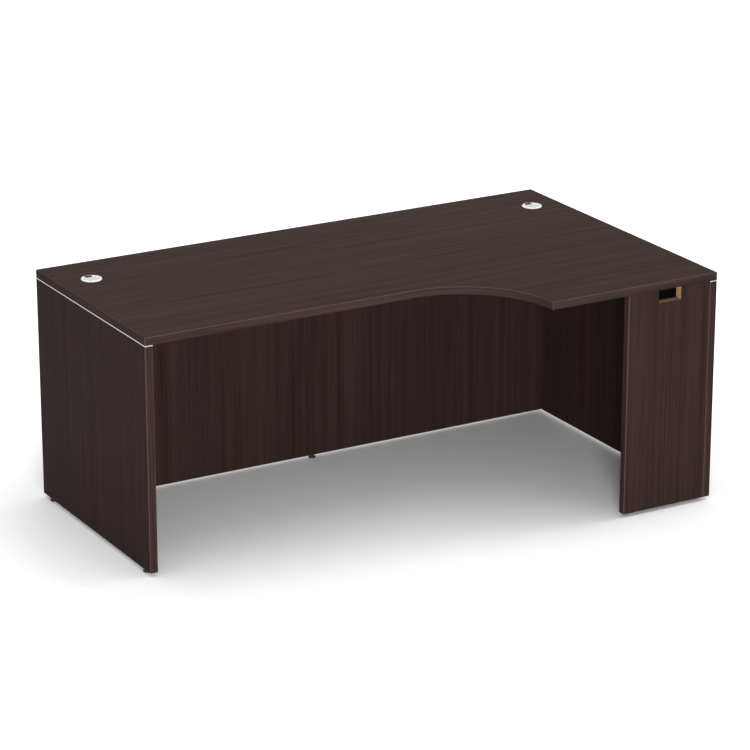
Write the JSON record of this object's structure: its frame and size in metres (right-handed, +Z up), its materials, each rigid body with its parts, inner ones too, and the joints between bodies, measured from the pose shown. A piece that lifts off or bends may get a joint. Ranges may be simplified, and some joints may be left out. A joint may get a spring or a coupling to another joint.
{
  "type": "teacher desk",
  "caption": "Laminate desk, deep at the right end and shallow at the left, with a curved front, panel sides, a full modesty panel, cable grommets and screw levellers.",
  "frame": {"origin": "on the floor under the middle of the desk's outline", "axes": "+Z up; +Y from the user's side to the rear; +X towards the user's right, the deep end"},
  "size_m": [1.8034, 1.0668, 0.7525],
  "materials": {
    "top_laminate": "satin",
    "panel_laminate": "satin",
    "edge_band": "satin",
    "aluminium": "brushed",
    "grommet_plastic": "satin",
    "foot_plastic": "matte",
    "zinc_steel": "zinc plated",
    "black_steel": "black oxide"
  },
  "bodies": {
    "desk": {"desk_top": "top_laminate", "desk_top_edge_band": "edge_band", "left_accent_strip": "aluminium", "left_end_panel": "panel_laminate", "left_end_panel_edge_band": "edge_band", "left_front_leveller_insert": "zinc_steel", "left_grommet_liner": "grommet_plastic", "left_rear_leveller_insert": "zinc_steel", "left_top_front_cam": "zinc_steel", "left_top_front_cam_bolt": "zinc_steel", "left_top_rear_cam": "zinc_steel", "left_top_rear_cam_bolt": "zinc_steel", "middle_leveller_insert": "zinc_steel", "modesty_left_lower_cam": "zinc_steel", "modesty_left_lower_cam_bolt": "zinc_steel", "modesty_left_upper_cam": "zinc_steel", "modesty_left_upper_cam_bolt": "zinc_steel", "modesty_panel": "panel_laminate", "modesty_panel_edge_band": "edge_band", "modesty_right_lower_cam": "zinc_steel", "modesty_right_lower_cam_bolt": "zinc_steel", "modesty_right_upper_cam": "zinc_steel", "modesty_right_upper_cam_bolt": "zinc_steel", "modesty_top_cam": "zinc_steel", "modesty_top_cam_bolt": "zinc_steel", "right_accent_strip": "aluminium", "right_end_panel": "panel_laminate", "right_end_panel_edge_band": "edge_band", "right_front_leveller_insert": "zinc_steel", "right_grommet_liner": "grommet_plastic", "right_rear_leveller_insert": "zinc_steel", "right_top_front_cam": "zinc_steel", "right_top_front_cam_bolt": "zinc_steel", "right_top_middle_cam": "zinc_steel", "right_top_middle_cam_bolt": "zinc_steel", "right_top_rear_cam": "zinc_steel", "right_top_rear_cam_bolt": "zinc_steel", "support_panel": "panel_laminate", "support_panel_edge_band": "edge_band", "support_right_lower_cam": "zinc_steel", "support_right_lower_cam_bolt": "zinc_steel", "support_right_upper_cam": "zinc_steel", "support_right_upper_cam_bolt": "zinc_steel", "support_top_cam": "zinc_steel", "support_top_cam_bolt": "zinc_steel"},
    "left_front_leveller_foot_pad": {"left_front_leveller_foot_pad": "foot_plastic"},
    "left_front_leveller_stem": {"left_front_leveller_stem": "black_steel"},
    "left_rear_leveller_foot_pad": {"left_rear_leveller_foot_pad": "foot_plastic"},
    "left_rear_leveller_stem": {"left_rear_leveller_stem": "black_steel"},
    "right_front_leveller_foot_pad": {"right_front_leveller_foot_pad": "foot_plastic"},
    "right_front_leveller_stem": {"right_front_leveller_stem": "black_steel"},
    "right_rear_leveller_foot_pad": {"right_rear_leveller_foot_pad": "foot_plastic"},
    "right_rear_leveller_stem": {"right_rear_leveller_stem": "black_steel"},
    "middle_leveller_foot_pad": {"middle_leveller_foot_pad": "foot_plastic"},
    "middle_leveller_stem": {"middle_leveller_stem": "black_steel"},
    "left_grommet_cap": {"left_grommet_cap": "grommet_plastic"},
    "right_grommet_cap": {"right_grommet_cap": "grommet_plastic"}
  },
  "joints": [
    {"name": "left_front_leveller_travel", "type": "slide", "parent": "desk", "child": "left_front_leveller_foot_pad", "axis": [0, 0, -1], "range_m": [0, 0.012]},
    {"name": "left_front_leveller_turn", "type": "hinge", "parent": "left_front_leveller_foot_pad", "child": "left_front_leveller_stem", "pos_m": [-0.889, -0.1796, 0], "axis": [0, 0, -1], "range_deg": [0, 3457]},
    {"name": "left_rear_leveller_travel", "type": "slide", "parent": "desk", "child": "left_rear_leveller_foot_pad", "axis": [0, 0, -1], "range_m": [0, 0.012]},
    {"name": "left_rear_leveller_turn", "type": "hinge", "parent": "left_rear_leveller_foot_pad", "child": "left_rear_leveller_stem", "pos_m": [-0.889, 0.4844, 0], "axis": [0, 0, -1], "range_deg": [0, 3457]},
    {"name": "right_front_leveller_travel", "type": "slide", "parent": "desk", "child": "right_front_leveller_foot_pad", "axis": [0, 0, -1], "range_m": [0, 0.012]},
    {"name": "right_front_leveller_turn", "type": "hinge", "parent": "right_front_leveller_foot_pad", "child": "right_front_leveller_stem", "pos_m": [0.889, -0.4844, 0], "axis": [0, 0, -1], "range_deg": [0, 3457]},
    {"name": "right_rear_leveller_travel", "type": "slide", "parent": "desk", "child": "right_rear_leveller_foot_pad", "axis": [0, 0, -1], "range_m": [0, 0.012]},
    {"name": "right_rear_leveller_turn", "type": "hinge", "parent": "right_rear_leveller_foot_pad", "child": "right_rear_leveller_stem", "pos_m": [0.889, 0.4844, 0], "axis": [0, 0, -1], "range_deg": [0, 3457]},
    {"name": "middle_leveller_travel", "type": "slide", "parent": "desk", "child": "middle_leveller_foot_pad", "axis": [0, 0, -1], "range_m": [0, 0.012]},
    {"name": "middle_leveller_turn", "type": "hinge", "parent": "middle_leveller_foot_pad", "child": "middle_leveller_stem", "pos_m": [0, 0.4191, 0], "axis": [0, 0, -1], "range_deg": [0, 3457]},
    {"name": "left_grommet_cap_lift", "type": "slide", "parent": "desk", "child": "left_grommet_cap", "axis": [0, 0, 1], "range_m": [0, 0.04]},
    {"name": "right_grommet_cap_lift", "type": "slide", "parent": "desk", "child": "right_grommet_cap", "axis": [0, 0, 1], "range_m": [0, 0.04]}
  ],
  "couplings": [
    {"joint": "left_front_leveller_turn", "follows": "left_front_leveller_travel", "rad_per_m": 5026.5},
    {"joint": "left_rear_leveller_turn", "follows": "left_rear_leveller_travel", "rad_per_m": 5026.5},
    {"joint": "right_front_leveller_turn", "follows": "right_front_leveller_travel", "rad_per_m": 5026.5},
    {"joint": "right_rear_leveller_turn", "follows": "right_rear_leveller_travel", "rad_per_m": 5026.5},
    {"joint": "middle_leveller_turn", "follows": "middle_leveller_travel", "rad_per_m": 5026.5}
  ]
}
